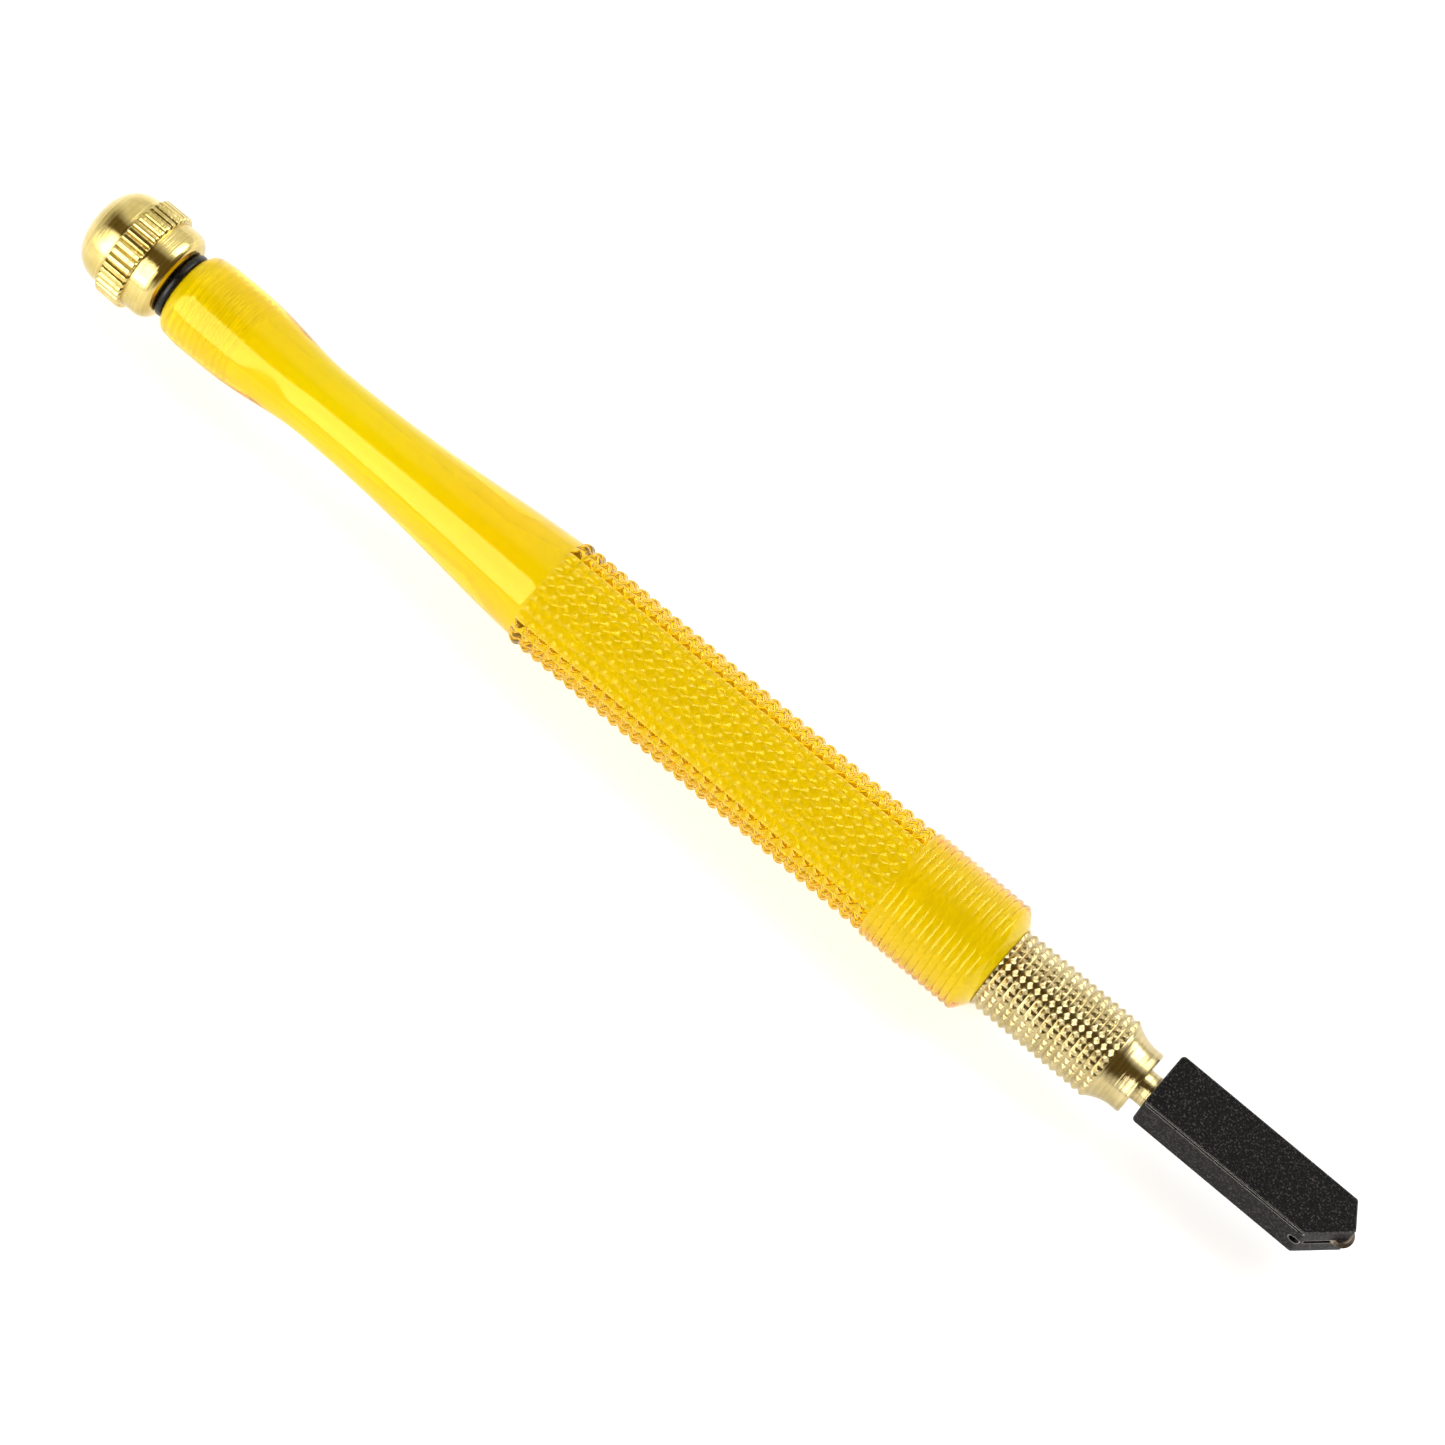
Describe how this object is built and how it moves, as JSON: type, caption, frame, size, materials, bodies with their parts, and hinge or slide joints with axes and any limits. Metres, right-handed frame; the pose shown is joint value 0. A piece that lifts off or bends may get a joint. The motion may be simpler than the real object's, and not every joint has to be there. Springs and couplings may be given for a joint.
{
  "type": "glass cutter",
  "caption": "Oil-fed pencil-grip glass cutter: hollow transparent barrel with beaded grip, screwed filler cap, knurled collar and a sprung swivelling head with a cutting wheel.",
  "frame": {"origin": "centre of the closed tool's box, on the barrel's axis", "axes": "+X along the barrel's axis, towards the cutting wheel; +Z out of one wide face of the head, along the wheel's axle"},
  "size_m": [0.175, 0.014, 0.014],
  "materials": {
    "yellow_acrylic": "gloss",
    "brass": "polished, turned",
    "bronze": "satin",
    "rubber": "satin",
    "steel": "satin",
    "carbide": "ground",
    "black_steel": "black oxide, satin",
    "cotton": "matte"
  },
  "bodies": {
    "handle": {"barrel": "yellow_acrylic", "collar": "brass", "collar_o_ring": "rubber", "filter_screen": "brass", "retaining_ring": "steel", "spring_retainer": "brass", "valve_spring": "steel", "swivel_bush": "bronze", "gland_o_ring": "rubber", "gland_bush": "brass"},
    "plunger": {"thrust_washer": "steel", "valve_stem": "brass", "valve_seal": "rubber"},
    "head": {"head_shank": "brass", "stop_pin": "steel", "feed_wick": "cotton", "head_block": "black_steel", "head_screw": "steel", "wheel_axle": "black_steel"},
    "wheel": {"cutting_wheel": "carbide"},
    "cap_seal": {"cap_o_ring": "rubber"},
    "cap": {"fill_cap": "brass"}
  },
  "joints": [
    {"name": "head_press", "type": "slide", "parent": "handle", "child": "plunger", "axis": [-1, 0, 0], "range_m": [0, 0.0008], "stiffness_N_per_m": 500, "springref_m": -0.002, "deforming": ["valve_spring"]},
    {"name": "head_swivel", "type": "hinge", "parent": "plunger", "child": "head", "pos_m": [0.0719, 0, 0], "axis": [1, 0, 0], "range_deg": [-15, 15]},
    {"name": "wheel_spin", "type": "hinge", "parent": "head", "child": "wheel", "pos_m": [0.086, 0.0014, 0], "axis": [0, 0, 1], "continuous": true},
    {"name": "cap_lift", "type": "slide", "parent": "handle", "child": "cap_seal", "axis": [-1, 0, 0], "range_m": [0, 0.0096]},
    {"name": "cap_turn", "type": "hinge", "parent": "cap_seal", "child": "cap", "pos_m": [-0.08, 0, 0], "axis": [-1, 0, 0], "range_deg": [0, 4320]}
  ],
  "couplings": [
    {"joint": "cap_turn", "follows": "cap_lift", "rad_per_m": 7854}
  ]
}
